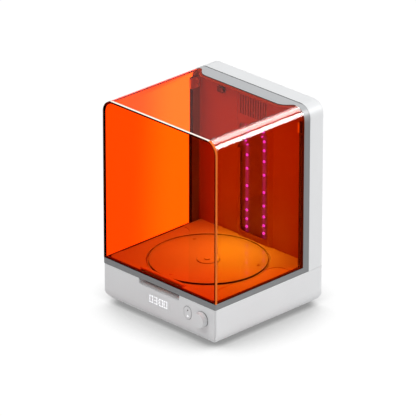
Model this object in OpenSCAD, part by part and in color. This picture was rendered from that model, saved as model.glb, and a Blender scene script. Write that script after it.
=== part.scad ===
// Light curing cabinet: white base with the controls, white rear column with the lamp, and an orange hood on
// a grey frame that swings up about the column's top edge. A clear turntable turns the work before the lamp.
// Millimetres, +X to the right, +Z up, front towards -Y. The origin is at the middle of the footprint, on the
// table.

/* [Body] */
// Width of the base, the hood and the column
body_w = 240; // [220:1:280]
// Depth of the base, without the knob
body_d = 230; // [210:1:260]
// Height of the top edge of the white base over the table
base_top_z = 65; // [60:1:80]
// Height of the whole cabinet
body_top_z = 336; // [300:1:380]
// Radius of the round top corners, seen from the front
corner_r = 20; // [14:1:30]
// Radius under the base's two side edges
base_side_r = 24; // [16:1:28]
// Radius under the base's front edge
base_front_r = 22; // [14:1:28]
// Radius under the base's rear edge
base_rear_r = 20; // [14:1:28]
// Radius round the rear edges of the column and base
rear_edge_r = 4; // [2:0.5:6]
// Thickness of the moulded white walls
wall = 2.8; // [2.2:0.1:3]
// Gap between the base and the table, filled by the feet
foot_gap = 2; // [1:0.5:4]
// Height of the raised passage across the underside
undercut_h = 3.5; // [2:0.5:5]

/* [Hood] */
// Height of the grey rim under the orange sheet
rim_h = 9.6; // [8:0.2:12]
// Depth of the grey trim between the orange sheet and the column
trim_w = 12; // [10:0.5:16]
// Depth of the white column
column_d = 31; // [30:1:40]
// Thickness of the orange sheet
sheet_t = 4; // [3:0.5:5]
// Half width of the cut-out in the hood's top, at the hood's rear edge
cutout_half_w = 98; // [80:1:99]
// Depth of the cut-out, from the hood's rear edge
cutout_d = 14.6; // [10:0.2:20]

/* [Turntable] */
// Diameter of the clear plate
plate_d = 180; // [140:2:186]
// Thickness of the clear plate
plate_t = 3; // [2:0.5:4]
// Distance of the turntable's axis from the middle of the footprint
plate_y = -6; // [-10:1:-2]

/* [Lamp] */
// Width of the lamp window
window_w = 58; // [40:1:58]
// Lower edge of the lamp window
window_z0 = 87.5; // [84:0.5:100]
// Upper edge of the lamp window
window_z1 = 263.5; // [220:0.5:266]
// Distance of each column of diodes from the middle
diode_x = 18.2; // [12:0.2:22]
// Number of air slots over the window
grille_slots = 11; // [7:1:11]

/* [Controls] */
// Diameter of the knob
knob_d = 24; // [20:1:26]
// How far the knob stands proud of the front
knob_proud = 10; // [6:0.5:14]
// Place of the knob along the front
knob_x = 92.5; // [80:0.5:94]
// Height of the knob and the button
control_z = 42.5; // [38:0.5:44]
// Place of the button along the front
button_x = 61.5; // [50:0.5:66]
// Width of the button
button_w = 15; // [12:0.5:16]
// Height of the button
button_h = 20.5; // [18:0.5:22]
// Width of the finger notch
notch_w = 86; // [70:1:100]
// Depth of the finger notch below the base's top edge
notch_h = 9; // [7:0.5:11]

/* [Hidden] */

$fn = 64;
e = 0.01;
half_w = body_w / 2;
front_y = knob_proud - (body_d + knob_proud) / 2;
rear_y = front_y + body_d;
column_y = rear_y - column_d;
hood_rear_y = column_y - trim_w;
sheet_z = base_top_z + rim_h;
bottom_z = foot_gap;
slide_gap = 0.3;

// Underside passage between the front and rear feet
undercut_y0 = front_y + 62;
undercut_y1 = front_y + 165;
undercut_top = bottom_z + undercut_h;
undercut_slope_front = 9;
undercut_slope_rear = 3;
bottom_t = 3;

// Finger notch in the front of the base
notch_back_y = front_y + 13;
notch_wall = 2.4;

// Plate under the base, and the feet beside it
plate_half_w = 92;
plate_y0 = undercut_y0 + 2;
plate_y1 = undercut_y1 - 2;
plate_low_t = 2.4;
base_screw_x = [-84, 0, 84];
foot_x = 78;
foot_r = 8;

// Chamber floor
floor_z = base_top_z + 12;
floor_half_w = half_w - 6.5;
floor_front_y = front_y + 6.6;
dish_z = floor_z - 2;
well_z = dish_z - 1.8;
floor_under_z = dish_z - 2.5;
ledge_z = base_top_z - 3;
side_step_x = 86;
side_step_t = 0.8;
side_step_y0 = front_y + 33;
side_step_y1 = front_y + 163;
skirt_t = 2.5;
floor_corner_r = 8;

// Turntable hub and the pads under the plate
hub_r = 15.5;
hub_flange_z = well_z + 0.5;
hub_top_z = dish_z + 1;
hub_spigot_r = 4;
glide_ring_r = 77;
glide_pad_r = 2.6;

// Gear motor under the floor
motor_plate_z = 60;
motor_r = 25;
motor_h = 20;
motor_screw_at = [36, 20];
motor_nose_r = 6;
shaft_r = 3;

// Main board on the base plate
board_x0 = -62;
board_w = 100;
board_post_y = [plate_y0 + 20, plate_y1 - 20];
main_board_z = undercut_top + plate_low_t + 6;

// Back wall and the raised lamp tower in it
wall_face_y = column_y + 3.5;
wall_t = 2.5;
tower_half_w = 31.5;
tower_foot_half_w = 39;
window_mid_z = (window_z0 + window_z1) / 2;
grille_z0 = 278;
grille_z1 = 310;
grille_pitch = 5.3;
grille_slot_w = 2.4;
panel_inset = wall + 0.6;
window_r = 6;
window_flange_h = 1.9;
board_face_y = column_y + 5.4;
lamp_board_t = 1.5;
sink_y = board_face_y + lamp_board_t;
sink_t = 2.5;
sink_fins = 10;

// Air slots in the rear of the column
vent_pitch = 6;
vent_slot_w = 2.8;

// Screws that hold the column to the back wall
column_screw_x = 104;
column_screw_z = [88, 196, 300];

// Catch of the lid switch
hook_x = -69.5;
hook_z = 300;

// Diode rows: distances from the middle, closer towards the ends so that the light is even
diode_mid_z = window_mid_z + 1.6;
diode_steps = [14.4, 36.9, 54.9, 69.7, 82.5];
diode_r = 2.3;

// Fan behind the grille
fan_size = 60;
fan_z = (grille_z0 + grille_z1) / 2;
fan_y0 = 97;
fan_depth = 12;
fan_blades = 7;
fan_screw_at = 25;
fan_plate_t = 2;

// Hinge axis: the centre of the round that runs along the frame's top rear edge
hinge_r = 2.35;
hinge_y = column_y - slide_gap - hinge_r + 0.15;
hinge_z = body_top_z - hinge_r;
hinge_x = 80;
knuckle_w = 20;
knuckle_r = 1.5;
hinge_pin_r = 0.8;
leaf_z0 = 328.8;
leaf_z1 = 330.2;
leaf_y1 = column_y + 18;
leaf_screw_y = column_y + 12;
skin_z = hinge_z + knuckle_r + 0.1;

// Grey rim and frame of the hood
rim_low_z = base_top_z + slide_gap;
frame_rear_y = column_y - slide_gap;
lip_t = 1.5;
lip_low_z = sheet_z - 4;
lip_top_z = sheet_z + 2.6;
tongue_y = hood_rear_y - 15;

// Steel brackets between the sheet and the frame
bracket_screw_z = [301, 311];
bracket_face_x = half_w - sheet_t - lip_t;
bracket_z0 = 297;
bracket_z1 = 315;
bracket_t = 2;

// Controls
board_y = front_y + 13;
board_t = 1.6;
board_screw_x = [-31, 40, 106];
board_screw_z = 48;
button_travel = 0.8;
display_x = -1.5;
display_z = 39.5;
display_w = 48;
display_h = 17.2;
control_board_x0 = -35;
control_board_w = 145;
control_board_z0 = 23;
control_board_h = 29;

// Power inlet in the rear of the base
inlet_x = 70;
inlet_z = 32;

// Screws: threaded radius, pilot hole, clearance hole and head of the large and the small size
screw_r = 1.4;
pilot_r = 1.45;
clear_r = 1.7;
head_r = 3;
small_screw_r = 1.15;
small_pilot_r = 1.2;
small_clear_r = 1.4;
small_head_r = 2.3;
cross_l = 3.6;
cross_w = 0.7;

// Left and right
sides = [-1, 1];

// A rectangle in the drawing plane with its own radius at each corner
module rounded_box_2d(x0, x1, z0, z1, r_low0, r_low1, r_top0, r_top1) {
    polygon([[x0 + r_low0, z0], [x1 - r_low1, z0], [x1, z0 + r_low1], [x1, z1 - r_top1], [x1 - r_top1, z1],
        [x0 + r_top0, z1], [x0, z1 - r_top0], [x0, z0 + r_low0]]);
    translate([x0 + r_low0, z0 + r_low0]) circle(r = r_low0);
    translate([x1 - r_low1, z0 + r_low1]) circle(r = r_low1);
    translate([x0 + r_top0, z1 - r_top0]) circle(r = r_top0);
    translate([x1 - r_top1, z1 - r_top1]) circle(r = r_top1);
}

// The same with one radius, centred
module pill_2d(w, h, r) {
    rounded_box_2d(-w / 2, w / 2, -h / 2, h / 2, r, r, r, r);
}

// Extrudes a drawing of X and Z along Y
module along_y(y0, y1) {
    translate([0, y1, 0]) rotate([90, 0, 0]) linear_extrude(y1 - y0) children();
}

// Extrudes a drawing of Y and Z along X
module along_x(x0, x1) {
    translate([x0, 0, 0]) rotate([90, 0, 90]) linear_extrude(x1 - x0) children();
}

// A round bar along Y, and one along X
module bar_y(r, x, z, y0, y1) {
    translate([x, y1, z]) rotate([90, 0, 0]) cylinder(r = r, h = y1 - y0);
}

module bar_x(r, y, z, x0, x1) {
    translate([x0, y, z]) rotate([0, 90, 0]) cylinder(r = r, h = x1 - x0);
}

// Mirrors its children to the left when s is -1
module on_side(s) {
    if (s > 0) children();
    else mirror([1, 0, 0]) children();
}

// Outline of the hood and the column seen from the front, drawn in by inset
module arch_2d(inset, low_z) {
    w = half_w - inset;
    top = body_top_z - inset;
    r = corner_r - inset;
    polygon([[-w, low_z], [w, low_z], [w, top - r], [w - r, top], [r - w, top], [-w, top - r]]);
    for (s = sides) translate([s * (w - r), top - r]) circle(r = r, $fn = 96);
}

// Plan outline of the base, drawn in by inset
module plan_2d(inset) {
    front_r = 2.5;
    r_front = max(front_r - inset, 0.4);
    r_rear = max(rear_edge_r - inset, 0.6);
    rounded_box_2d(inset - half_w, half_w - inset, front_y + inset, rear_y - inset, r_front, r_front, r_rear,
        r_rear);
}

// The base as a block with its rounded underside, drawn in by inset
module base_block(inset, top_z) {
    low = bottom_z + inset;
    intersection() {
        along_y(front_y - 1, rear_y + 1) rounded_box_2d(inset - half_w, half_w - inset, low, top_z + 8,
            base_side_r - inset, base_side_r - inset, 1, 1);
        along_x(-half_w - 1, half_w + 1) rounded_box_2d(front_y + inset, rear_y - inset, low, top_z + 8,
            base_front_r - inset, base_rear_r - inset, 1, 1);
        linear_extrude(top_z) plan_2d(inset);
    }
}

// The passage under the base, or the floor over it when grown by t
module undercut(t) {
    front = undercut_y0 - undercut_slope_front - t;
    rear = undercut_y1 + undercut_slope_rear + t;
    along_x(-half_w - 1, half_w + 1) polygon([[front, -1], [front + 1, bottom_z],
        [undercut_y0 - t / 2, undercut_top + t], [undercut_y1 + t / 2, undercut_top + t],
        [rear, bottom_z], [rear + 0.5, -1]]);
}

// Places of the base plate's screws
module base_screw_places() {
    for (x = base_screw_x) for (y = [plate_y0 + 6, plate_y1 - 6]) translate([x, y, 0]) children();
}

// Places of the feet
module feet_places() {
    for (s = sides) for (y = [front_y + 36, rear_y - 42]) translate([s * foot_x, y, 0]) children();
}

module button_2d(grow) {
    translate([button_x, control_z])
        pill_2d(button_w + 2 * grow, button_h + 2 * grow, button_w / 2 + grow - e);
}

// Outline of the finger notch on the front: round lower corners, open at the top
module notch_2d(grow) {
    r = 4 + grow;
    w = notch_w / 2 + grow;
    rounded_box_2d(-w, w, base_top_z - notch_h - grow, base_top_z + 14, r, r, 0.5, 0.5);
}

module base_housing() {
    color([0.87, 0.88, 0.89]) difference() {
        union() {
            // Outer shell with its thicker bottom
            difference() {
                base_block(0, base_top_z);
                difference() {
                    base_block(wall, base_top_z + 4);
                    translate([-half_w, front_y, 0]) cube([body_w, body_d, bottom_z + bottom_t]);
                    undercut(bottom_t + 2);
                }
                undercut(0);
            }
            // Ledge that carries the chamber floor
            translate([0, 0, ledge_z - 3]) linear_extrude(3) difference() {
                plan_2d(wall - 0.5);
                plan_2d(wall + 2.2);
            }
            // Wall round the finger notch
            intersection() {
                along_y(front_y + 0.5, notch_back_y + notch_wall) notch_2d(notch_wall);
                translate([-half_w, front_y, 0]) cube([body_w, 40, ledge_z]);
            }
            // Bosses for the control board
            for (x = board_screw_x) bar_y(3.2, x, board_screw_z, front_y + 1, board_y);
            // Bosses for the base plate's screws
            base_screw_places() translate([0, 0, undercut_top + 1]) cylinder(r = 4, h = 13);
        }
        // Finger notch
        along_y(front_y - 1, notch_back_y) notch_2d(0);
        // Rebate and opening for the base plate
        translate([-plate_half_w - 0.3, plate_y0 - 0.3, 0])
            cube([2 * plate_half_w + 0.6, plate_y1 - plate_y0 + 0.6, undercut_top + plate_low_t]);
        difference() {
            translate([-78, plate_y0 + 12, 0]) cube([156, plate_y1 - plate_y0 - 24, undercut_top + 8]);
            base_screw_places() cylinder(r = 5, h = 30);
        }
        base_screw_places() cylinder(r = pilot_r, h = 17);
        // Foot recesses
        feet_places() cylinder(r = foot_r + 0.15, h = bottom_z + 1.6);
        // Thin place behind the front face where the display shines through
        translate([display_x - display_w / 2 - 1, front_y + 1, display_z - display_h / 2 - 0.4])
            cube([display_w + 2, wall, display_h + 0.8]);
        // Holes for the button and the knob's shaft
        along_y(front_y - 1, front_y + wall + 1) button_2d(0.3);
        bar_y(4, knob_x, control_z, front_y - 1, front_y + wall + 1);
        for (x = board_screw_x) bar_y(small_pilot_r, x, board_screw_z, board_y - 8, board_y + 1);
        // Hole for the power inlet
        bar_y(6.2, inlet_x, inlet_z, rear_y - wall - 1, rear_y + 1);
    }
}

module board_post_places() {
    for (x = [board_x0 + 5, board_x0 + board_w - 5]) for (y = board_post_y) translate([x, y, 0]) children();
}

module base_plate() {
    color([0.42, 0.43, 0.44]) difference() {
        union() {
            translate([-plate_half_w, plate_y0, undercut_top])
                cube([2 * plate_half_w, plate_y1 - plate_y0, plate_low_t]);
            board_post_places() translate([0, 0, undercut_top + 1])
                cylinder(r = 3, h = main_board_z - undercut_top - 1);
        }
        board_post_places() translate([0, 0, undercut_top + plate_low_t]) cylinder(r = 1.1, h = 10);
        // Air slots in two fields
        for (s = sides) for (i = [-4:4])
            translate([s * 44 + i * 6.5 - 1.5, plate_y0 + 25, 0]) cube([3, plate_y1 - plate_y0 - 50, 20]);
        base_screw_places() cylinder(r = clear_r, h = 20);
        base_screw_places() translate([0, 0, undercut_top - 1]) cylinder(r = head_r + 0.2, h = 2.2);
    }
}

module rubber_feet() {
    color([0.22, 0.22, 0.23]) feet_places() rotate_extrude()
        polygon([[0, 0], [foot_r - 1, 0], [foot_r, 1], [foot_r, bottom_z + 1.6], [0, bottom_z + 1.6]]);
}

module base_screws() {
    color([0.6, 0.61, 0.62]) base_screw_places() translate([0, 0, undercut_top]) difference() {
        union() {
            cylinder(r = head_r, h = 1.2);
            translate([0, 0, 1]) cylinder(r = screw_r, h = 9);
        }
        for (a = [0, 90]) rotate(a)
            translate([-cross_l / 2, -cross_w / 2, -0.1]) cube([cross_l, cross_w, 0.8]);
    }
}

// Side view of the bump over the finger space, and of the space itself
module bump(grow) {
    back = notch_back_y + grow;
    top = floor_z + 2 + grow;
    front = floor_front_y - 5 + grow;
    low = ledge_z - 3 + grow;
    along_x(-notch_w / 2 - grow, notch_w / 2 + grow)
        polygon([[front, low], [back, low], [back, top - 4], [back - 3, top], [front, top]]);
}

// A shallow step in the floor beside the turntable, open to the side
module side_step(s) {
    outer = floor_half_w + 10;
    x0 = s > 0 ? side_step_x : -outer;
    x1 = s > 0 ? outer : -side_step_x;
    r_in_front = 9;
    r_in_rear = 20;
    translate([0, 0, floor_z - side_step_t]) linear_extrude(10)
        rounded_box_2d(x0, x1, side_step_y0, side_step_y1, s > 0 ? r_in_front : 1, s > 0 ? 1 : r_in_front,
            s > 0 ? r_in_rear : 1, s > 0 ? 1 : r_in_rear);
}

// Plan outline of the raised floor, drawn in by inset
module floor_2d(inset) {
    w = floor_half_w - inset;
    r = max(floor_corner_r - inset, 1);
    rounded_box_2d(-w, w, floor_front_y + inset, wall_face_y - slide_gap - inset, r, r, 1, 1);
}

module chamber_floor() {
    color([0.62, 0.63, 0.63]) difference() {
        union() {
            // Raised floor with its skirt
            difference() {
                translate([0, 0, ledge_z]) linear_extrude(floor_z - ledge_z) floor_2d(0);
                translate([0, 0, ledge_z - 1]) linear_extrude(floor_under_z - ledge_z + 1) floor_2d(skirt_t);
            }
            // Flange that rests on the base's ledge
            translate([0, 0, ledge_z]) linear_extrude(2.4) difference() {
                rounded_box_2d(wall + 0.3 - half_w, half_w - wall - 0.3, front_y + wall + 0.3, column_y - 0.5,
                    1, 1, 1, 1);
                floor_2d(skirt_t);
            }
            // Bump over the finger space
            intersection() {
                bump(2.2);
                translate([-half_w, floor_front_y, ledge_z]) cube([body_w, 60, 40]);
            }
            // Round the drive shaft, and the bosses for the motor bracket
            translate([0, plate_y, floor_under_z - 2.5]) cylinder(r = 19, h = 4);
            motor_screw_places() translate([0, 0, motor_plate_z + 2])
                cylinder(r = 4.5, h = floor_under_z - motor_plate_z);
        }
        // Finger space
        bump(0);
        // Dish for the turntable, well for its hub, hole for the shaft
        translate([0, plate_y, dish_z]) cylinder(r = plate_d / 2 + 3, h = 20, $fn = 128);
        translate([0, plate_y, well_z]) cylinder(r = hub_r + 1.2, h = 20);
        translate([0, plate_y, 0]) cylinder(r = 4, h = 100);
        for (s = sides) side_step(s);
        motor_screw_places() cylinder(r = pilot_r, h = floor_under_z + 1);
    }
}

module turntable_plate() {
    color([0.85, 0.88, 0.9, 0.5]) translate([0, plate_y, dish_z + 1]) difference() {
        cylinder(r = plate_d / 2, h = plate_t, $fn = 128);
        translate([0, 0, -1]) cylinder(r = hub_spigot_r + 0.05, h = plate_t + 2);
    }
}

// Three smooth pads in the dish that keep the plate's edge from dipping
module glide_pads() {
    color([0.9, 0.9, 0.9]) for (a = [-90, 30, 150])
        translate([glide_ring_r * cos(a), plate_y + glide_ring_r * sin(a), dish_z])
            rotate_extrude()
                polygon([[0, 0], [glide_pad_r, 0], [glide_pad_r, 0.3], [glide_pad_r - 0.6, 0.7], [0, 0.7]]);
}

module turntable_hub() {
    color([0.3, 0.3, 0.31]) translate([0, plate_y, 0]) difference() {
        union() {
            translate([0, 0, hub_flange_z]) cylinder(r = hub_r, h = hub_top_z - hub_flange_z);
            translate([0, 0, hub_top_z - 0.5]) cylinder(r = hub_spigot_r, h = plate_t + 0.3);
        }
        translate([0, 0, hub_flange_z - 1]) cylinder(r = shaft_r + 0.02, h = 3.4);
    }
}

module motor_screw_places() {
    for (s = sides) for (t = sides)
        translate([s * motor_screw_at.x, plate_y + t * motor_screw_at.y, 0]) children();
}

module drive_shaft() {
    color([0.7, 0.71, 0.72]) translate([0, plate_y, motor_plate_z - motor_h + 4])
        cylinder(r = shaft_r, h = hub_flange_z + 2.3 - (motor_plate_z - motor_h + 4));
}

module gear_motor() {
    color([0.66, 0.66, 0.64]) translate([0, plate_y, motor_plate_z - motor_h]) difference() {
        union() {
            cylinder(r = motor_r, h = motor_h);
            translate([0, 0, motor_h - 1]) cylinder(r = motor_nose_r, h = 6);
            // Terminal block
            translate([-9, -motor_r - 5, 2]) cube([18, 10, 12]);
        }
        translate([0, 0, 3.4]) cylinder(r = shaft_r + 0.05, h = 40);
        // Rolled seam of the can
        translate([0, 0, motor_h / 2]) difference() {
            cylinder(r = motor_r + 2, h = 0.8);
            cylinder(r = motor_r - 0.6, h = 0.8);
        }
    }
}

module motor_bracket() {
    color([0.75, 0.76, 0.77]) difference() {
        translate([0, plate_y, motor_plate_z])
            linear_extrude(2) pill_2d(2 * motor_screw_at.x + 12, 2 * motor_screw_at.y + 14, 5);
        translate([0, plate_y, motor_plate_z - 1]) cylinder(r = motor_nose_r + 0.2, h = 4);
        motor_screw_places() translate([0, 0, motor_plate_z - 1]) cylinder(r = clear_r, h = 4);
    }
}

module motor_screws() {
    color([0.6, 0.61, 0.62]) motor_screw_places() {
        translate([0, 0, motor_plate_z - 2]) cylinder(r = 2.8, h = 2);
        translate([0, 0, motor_plate_z - 1]) cylinder(r = screw_r, h = 9);
    }
}

module main_board() {
    color([0.1, 0.35, 0.22]) translate([0, 0, main_board_z]) {
        difference() {
            translate([board_x0, board_post_y[0] - 5, 0])
                cube([board_w, board_post_y[1] - board_post_y[0] + 10, board_t]);
            board_post_places() translate([0, 0, -1]) cylinder(r = 1.6, h = 4);
        }
        // Power parts on the board
        for (x = [-50, -38]) translate([x, plate_y1 - 34, board_t - e]) cylinder(r = 5, h = 16);
        translate([-24, plate_y1 - 42, board_t - e]) cube([18, 18, 12]);
        translate([2, plate_y1 - 46, board_t - e]) cube([14, 22, 4]);
        translate([24, plate_y1 - 60, board_t - e]) cube([7, 24, 9]);
        for (i = [0:3]) translate([-46 + i * 14, plate_y0 + 18, board_t - e]) cube([9, 6, 7]);
    }
}

module control_board() {
    color([0.1, 0.35, 0.22]) difference() {
        translate([control_board_x0, board_y, control_board_z0])
            cube([control_board_w, board_t, control_board_h]);
        for (x = board_screw_x) bar_y(small_clear_r, x, board_screw_z, board_y - 1, board_y + 3);
    }
}

module board_screws() {
    color([0.6, 0.61, 0.62]) {
        for (x = board_screw_x) {
            bar_y(small_head_r, x, board_screw_z, board_y + board_t, board_y + board_t + 1.4);
            bar_y(small_screw_r, x, board_screw_z, board_y - 5, board_y + board_t + 0.5);
        }
        board_post_places() {
            translate([0, 0, main_board_z + board_t]) cylinder(r = small_head_r, h = 1.4);
            translate([0, 0, undercut_top + plate_low_t + 1]) cylinder(r = 1.05, h = 7.6);
        }
    }
}

module display_module() {
    color([0.12, 0.12, 0.13]) {
        translate([display_x - display_w / 2, front_y + wall + 0.4, display_z - display_h / 2])
            cube([display_w, board_y - front_y - wall - 0.4, display_h]);
        translate([display_x - display_w / 2 + 1, front_y + 1.2, display_z - display_h / 2 + 0.6])
            cube([display_w - 2, wall, display_h - 1.2]);
    }
}

module encoder_body() {
    color([0.55, 0.56, 0.57]) difference() {
        union() {
            translate([knob_x - 6, board_y - 6.5, control_z - 6.5]) cube([12, 6.5, 13]);
            bar_y(3.6, knob_x, control_z, front_y + 0.6, board_y - 6);
        }
        bar_y(shaft_r + 0.05, knob_x, control_z, front_y - 1, board_y - 3);
    }
}

module encoder_shaft() {
    color([0.7, 0.71, 0.72]) bar_y(shaft_r, knob_x, control_z, front_y - knob_proud + 2.5, board_y - 3.4);
}

module knob() {
    r = knob_d / 2;
    h = knob_proud - slide_gap;
    inner_r = r - 2.2;
    hub = 5.6;
    roof = h - 2.6;
    color([0.86, 0.87, 0.88]) translate([knob_x, front_y - slide_gap, control_z]) rotate([90, 0, 0])
        difference() {
            // Turned outline: outer wall, hollow underneath, hub for the shaft
            rotate_extrude($fn = 96) polygon([[0, 2], [hub, 2], [hub, roof], [inner_r, roof], [inner_r, 0],
                [r - 0.3, 0], [r, 0.3], [r, h - 1.1], [r - 1.1, h], [0, h]]);
            translate([0, 0, -1]) cylinder(r = shaft_r + 0.02, h = h - 1.2);
        }
}

module pill_button() {
    dish_r = 119.4;
    color([0.84, 0.85, 0.86]) {
        difference() {
            along_y(front_y - 0.5, front_y + wall + 1.6) button_2d(0);
            // Slightly dished face
            translate([button_x, front_y - 0.5 - dish_r + 0.5, control_z]) sphere(r = dish_r, $fn = 160);
        }
        along_y(front_y + wall + 0.3, front_y + wall + 1.7) button_2d(1.6);
        bar_y(2.2, button_x, control_z, front_y + wall + 1, board_y - 3.3 - button_travel - 0.2);
    }
}

module button_switch() {
    color([0.2, 0.2, 0.21]) {
        translate([button_x - 3, board_y - 2.6, control_z - 3]) cube([6, 2.6, 6]);
        bar_y(1.7, button_x, control_z, board_y - 3.3, board_y - 2);
    }
}

// Thin slice of the column that ends at y, drawn in by inset
module column_slice(y, inset) {
    along_y(y - 0.05, y) arch_2d(inset, base_top_z);
}

// Outer form of the column with the round along its rear edges
module column_block() {
    hull() {
        along_y(column_y, column_y + 1) arch_2d(0, base_top_z);
        for (a = [0, 30, 60, 90])
            column_slice(rear_y - rear_edge_r * (1 - sin(a)), rear_edge_r * (1 - cos(a)));
    }
}

module column_screw_places() {
    for (s = sides) for (z = column_screw_z) translate([s * column_screw_x, 0, z]) children();
}

module hinge_screw_places() {
    for (s = sides) for (x = [-6, 6]) translate([s * hinge_x + x, leaf_screw_y, 0]) children();
}

module column_shell() {
    color([0.87, 0.88, 0.89]) difference() {
        union() {
            difference() {
                column_block();
                along_y(column_y - 1, rear_y - wall) arch_2d(wall, base_top_z - 1);
            }
            // Bosses for the hinge leaves
            hinge_screw_places() translate([0, 0, leaf_z1])
                cylinder(r = 3.4, h = body_top_z - wall - leaf_z1 + 0.5);
        }
        hinge_screw_places() cylinder(r = small_pilot_r, h = body_top_z - 1.2);
        // Air slots behind the fan and the lamp's heat sink
        for (z = [[fan_z - 20, 40], [92, 46]]) for (i = [-5:5])
            translate([i * vent_pitch - vent_slot_w / 2, rear_y - wall - 1, z[0]])
                cube([vent_slot_w, wall + 2, z[1]]);
        column_screw_places() bar_y(clear_r, 0, 0, rear_y - wall - 1, rear_y + 1);
        column_screw_places() bar_y(head_r + 0.2, 0, 0, rear_y - 1.4, rear_y + 1);
    }
}

module column_screws() {
    color([0.6, 0.61, 0.62]) column_screw_places() difference() {
        union() {
            bar_y(head_r, 0, 0, rear_y - 1.4, rear_y - 0.2);
            bar_y(screw_r, 0, 0, rear_y - 12, rear_y - 1);
        }
        for (a = [0, 90]) rotate([0, a, 0])
            translate([-cross_l / 2, rear_y - 0.9, -cross_w / 2]) cube([cross_l, 1, cross_w]);
    }
}

// Lamp tower: a raised face with sloped sides, from the floor to the top
module tower_2d(grow) {
    polygon([[-tower_foot_half_w + grow, wall_face_y + 0.5], [-tower_half_w + grow, column_y],
        [tower_half_w - grow, column_y], [tower_foot_half_w - grow, wall_face_y + 0.5]]);
}

module fan_screw_places() {
    for (s = sides) for (t = sides) translate([s * fan_screw_at, 0, fan_z + t * fan_screw_at]) children();
}

module back_panel() {
    top = body_top_z - panel_inset;
    color([0.45, 0.45, 0.46]) difference() {
        union() {
            along_y(wall_face_y, wall_face_y + wall_t) arch_2d(panel_inset, base_top_z + 0.5);
            // Return round the panel
            along_y(column_y + 0.3, wall_face_y + 0.5) difference() {
                arch_2d(panel_inset, floor_z + 0.5);
                arch_2d(panel_inset + 2, floor_z - 1);
            }
            translate([0, 0, floor_z + 0.3]) linear_extrude(top - floor_z - 0.3 - 1) tower_2d(0);
            // Frame on the back that holds the lamp board
            translate([-tower_foot_half_w + 2, wall_face_y + 1, window_z0 - 8])
                cube([2 * tower_foot_half_w - 4, 3.5, window_z1 - window_z0 + 16]);
            // Bosses for the column's screws, and posts for the fan
            for (s = sides) for (z = column_screw_z)
                bar_y(4.2, s * column_screw_x, z, wall_face_y + 1, rear_y - wall - 0.1);
            fan_screw_places() bar_y(3.4, 0, 0, wall_face_y + 1, fan_y0);
        }
        // Window and its pocket
        along_y(column_y - 1, wall_face_y + 8) translate([0, window_mid_z])
            pill_2d(window_w, window_z1 - window_z0, window_r);
        translate([0.2 - tower_half_w, column_y + 2, window_z0 - window_flange_h - 0.3])
            cube([2 * tower_half_w - 0.4, 20, window_z1 - window_z0 + 2 * window_flange_h + 0.6]);
        // Air slots, and the duct behind them
        for (i = [0:grille_slots - 1]) {
            x = (i - (grille_slots - 1) / 2) * grille_pitch;
            translate([x - grille_slot_w / 2, column_y - 1, grille_z0])
                cube([grille_slot_w, 10, grille_z1 - grille_z0]);
        }
        translate([-tower_half_w + 1.5, column_y + 2, grille_z0 - 3])
            cube([2 * tower_half_w - 3, 20, grille_z1 - grille_z0 + 6]);
        // Opening for the lid switch
        translate([hook_x - 6.5, column_y, hook_z - 0.5]) cube([13, 20, 9]);
        for (s = sides) for (z = column_screw_z)
            bar_y(pilot_r, s * column_screw_x, z, rear_y - 13, rear_y);
        fan_screw_places() bar_y(pilot_r, 0, 0, column_y + 2, rear_y);
        // Space for the hinge leaves
        for (s = sides) translate([s * hinge_x - knuckle_w / 2 - 0.6, column_y - 1, leaf_z0 - 1.2])
            cube([knuckle_w + 1.2, 30, 12]);
    }
}

module lamp_window() {
    color([0.6, 0.62, 0.68, 0.4]) {
        along_y(column_y + 0.7, column_y + 2.3) translate([0, window_mid_z])
            pill_2d(window_w - 0.3, window_z1 - window_z0 - 0.3, window_r - 0.2);
        translate([0.5 - tower_half_w, column_y + 2.1, window_z0 - window_flange_h])
            cube([2 * tower_half_w - 1, 0.9, window_z1 - window_z0 + 2 * window_flange_h]);
    }
}

module lamp_board() {
    color([0.85, 0.86, 0.85]) difference() {
        translate([-tower_half_w + 0.6, board_face_y, window_z0 - 1.8])
            cube([2 * tower_half_w - 1.2, lamp_board_t, window_z1 - window_z0 + 3.6]);
        for (s = sides) for (z = [window_z0 + 1.5, window_z1 - 1.5])
            bar_y(1.6, s * 26, z, board_face_y - 1, board_face_y + 3);
    }
}

module lamp_diodes() {
    r = diode_r;
    color([0.95, 0.6, 0.95]) for (s = sides) for (t = sides) for (d = diode_steps)
        translate([s * diode_x, board_face_y, diode_mid_z + t * d]) rotate([90, 0, 0])
            rotate_extrude($fn = 32)
                polygon([[0, 0], [r, 0], [r, 0.8], [r * 0.75, 1.5], [r * 0.3, 1.9], [0, 1.95]]);
}

module heat_sink() {
    color([0.7, 0.71, 0.73]) {
        h = window_z1 - window_z0 - 6;
        translate([-window_w / 2, sink_y, window_z0 + 2]) cube([window_w, sink_t, h]);
        pitch = (window_w - 2.4) / (sink_fins - 1);
        for (i = [0:sink_fins - 1])
            translate([0.5 - window_w / 2 + i * pitch, sink_y + 2, window_z0 + 2]) cube([1.4, 15, h]);
    }
}

module fan_frame() {
    r = fan_size / 2;
    color([0.13, 0.13, 0.14]) difference() {
        translate([-r, fan_y0, fan_z - r]) cube([fan_size, fan_depth, fan_size]);
        // Bore for the rotor, with the motor plate and its three arms left at the rear
        difference() {
            bar_y(r - 1.6, 0, fan_z, fan_y0 - 1, fan_y0 + fan_depth + 1);
            bar_y(11, 0, fan_z, fan_y0 + fan_depth - fan_plate_t, fan_y0 + fan_depth);
            for (a = [90, 210, 330]) translate([0, 0, fan_z]) rotate([0, a, 0])
                translate([0, fan_y0 + fan_depth - fan_plate_t, -1.8]) cube([r, fan_plate_t, 3.6]);
        }
        fan_screw_places() bar_y(2.15, 0, 0, fan_y0 - 1, fan_y0 + fan_depth + 1);
    }
}

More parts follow.
